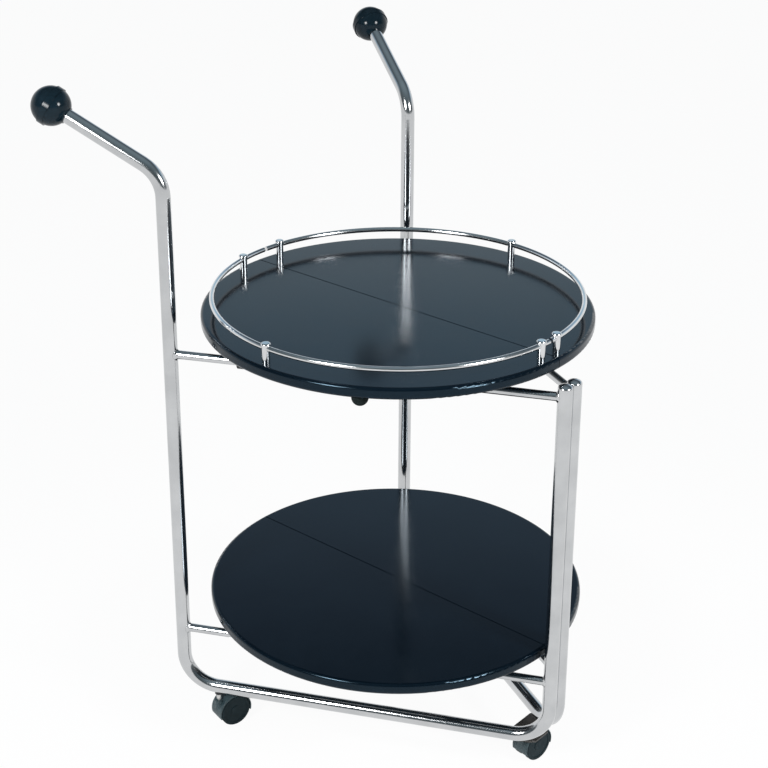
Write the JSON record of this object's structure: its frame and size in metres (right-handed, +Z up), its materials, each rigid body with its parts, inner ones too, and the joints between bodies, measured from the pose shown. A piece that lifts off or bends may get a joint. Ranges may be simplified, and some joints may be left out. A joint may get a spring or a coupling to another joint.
{
  "type": "folding bar cart",
  "caption": "Two-tier serving cart on three casters: a V of bent chrome tube carries two round split trays whose halves lift at the fold line as the frames close.",
  "frame": {"origin": "on the floor, at the middle of the cart's width and depth when unfolded", "axes": "+Z up; +Y from the apex of the V towards the handles; +X across, with the near frame at -X"},
  "size_m": [0.6848, 0.649, 0.9547],
  "materials": {
    "chromed_tube": "bright chrome plating on steel tube",
    "gallery": "bright chrome plating on steel rod",
    "lacquer": "black lacquer, satin gloss, on board",
    "knob": "glossy black",
    "clip": "black moulding",
    "bracket": "black paint on steel",
    "plate": "black paint on steel plate",
    "steel": "zinc-plated steel",
    "rubber": "black rubber",
    "caster_hood": "charcoal moulding",
    "caster_wheel": "charcoal moulding"
  },
  "bodies": {
    "near_frame": {"near_frame_tube": "chromed_tube", "near_upper_bar": "chromed_tube", "near_lower_bar": "chromed_tube", "near_ball_knob": "knob", "near_post_cap": "chromed_tube", "near_rear_caster_socket": "clip", "apex_plate": "plate", "front_caster_socket": "clip"},
    "lower_half_near": {"lower_tray_near": "lacquer", "lower_clips_near": "clip", "lower_screws_near": "steel", "hinge_brackets_near": "bracket", "hinge_pins": "steel"},
    "upper_half_near": {"upper_tray_near": "lacquer", "upper_clips_near": "clip", "upper_screws_near": "steel", "gallery_rail_near": "gallery", "gallery_posts_near": "gallery", "bumper_near": "rubber"},
    "far_frame": {"far_frame_tube": "chromed_tube", "far_upper_bar": "chromed_tube", "far_lower_bar": "chromed_tube", "far_ball_knob": "knob", "far_post_cap": "chromed_tube", "far_rear_caster_socket": "clip"},
    "lower_half_far": {"lower_tray_far": "lacquer", "lower_clips_far": "clip", "lower_screws_far": "steel", "hinge_brackets_far": "bracket"},
    "upper_half_far": {"upper_tray_far": "lacquer", "upper_clips_far": "clip", "upper_screws_far": "steel", "gallery_rail_far": "gallery", "gallery_posts_far": "gallery", "bumper_far": "rubber"},
    "front_swivel": {"front_caster_stem": "steel", "front_caster_hood": "caster_hood"},
    "front_wheel_set": {"front_caster_axle": "steel", "front_caster_wheels": "caster_wheel"},
    "near_rear_swivel": {"near_rear_caster_stem": "steel", "near_rear_caster_hood": "caster_hood"},
    "near_rear_wheel_set": {"near_rear_caster_axle": "steel", "near_rear_caster_wheels": "caster_wheel"},
    "far_rear_swivel": {"far_rear_caster_stem": "steel", "far_rear_caster_hood": "caster_hood"},
    "far_rear_wheel_set": {"far_rear_caster_axle": "steel", "far_rear_caster_wheels": "caster_wheel"}
  },
  "joints": [
    {"name": "fold", "type": "hinge", "parent": "near_frame", "child": "lower_half_near", "pos_m": [-0.12951, -0.07511, 0.161], "axis": [0.4462, -0.8949, 0], "range_deg": [0, 86]},
    {"name": "lower_split_hinge", "type": "hinge", "parent": "lower_half_near", "child": "lower_half_far", "pos_m": [0, -0.02651, 0.148], "axis": [0, 1, 0], "range_deg": [0, 172]},
    {"name": "far_lower_bar_hinge", "type": "hinge", "parent": "lower_half_far", "child": "far_frame", "pos_m": [0.12951, -0.07511, 0.161], "axis": [-0.4462, -0.8949, 0], "range_deg": [0, 86]},
    {"name": "near_upper_bar_hinge", "type": "hinge", "parent": "near_frame", "child": "upper_half_near", "pos_m": [-0.12951, -0.07511, 0.593], "axis": [0.4462, -0.8949, 0], "range_deg": [0, 86]},
    {"name": "far_upper_bar_hinge", "type": "hinge", "parent": "far_frame", "child": "upper_half_far", "pos_m": [0.12951, -0.07511, 0.593], "axis": [0.4462, 0.8949, 0], "range_deg": [0, 86]},
    {"name": "front_swivel_turn", "type": "hinge", "parent": "near_frame", "child": "front_swivel", "pos_m": [0, -0.26521, 0.05], "axis": [0, 0, 1], "continuous": true},
    {"name": "front_wheel_spin", "type": "hinge", "parent": "front_swivel", "child": "front_wheel_set", "pos_m": [0.01983, -0.26782, 0.0235], "axis": [0.1305, 0.9914, 0], "continuous": true},
    {"name": "near_rear_swivel_turn", "type": "hinge", "parent": "near_frame", "child": "near_rear_swivel", "pos_m": [-0.22612, 0.11865, 0.05], "axis": [0, 0, 1], "continuous": true},
    {"name": "near_rear_wheel_spin", "type": "hinge", "parent": "near_rear_swivel", "child": "near_rear_wheel_set", "pos_m": [-0.20677, 0.11358, 0.0235], "axis": [0.2538, 0.9673, 0], "continuous": true},
    {"name": "far_rear_swivel_turn", "type": "hinge", "parent": "far_frame", "child": "far_rear_swivel", "pos_m": [0.18864, 0.04348, 0.05], "axis": [0, 0, 1], "continuous": true},
    {"name": "far_rear_wheel_spin", "type": "hinge", "parent": "far_rear_swivel", "child": "far_rear_wheel_set", "pos_m": [0.20798, 0.0384, 0.0235], "axis": [0.2538, 0.9673, 0], "continuous": true}
  ],
  "couplings": [
    {"joint": "lower_split_hinge", "follows": "fold", "ratio": 2},
    {"joint": "far_lower_bar_hinge", "follows": "fold", "ratio": 1},
    {"joint": "near_upper_bar_hinge", "follows": "fold", "ratio": 1},
    {"joint": "far_upper_bar_hinge", "follows": "fold", "ratio": 1}
  ]
}
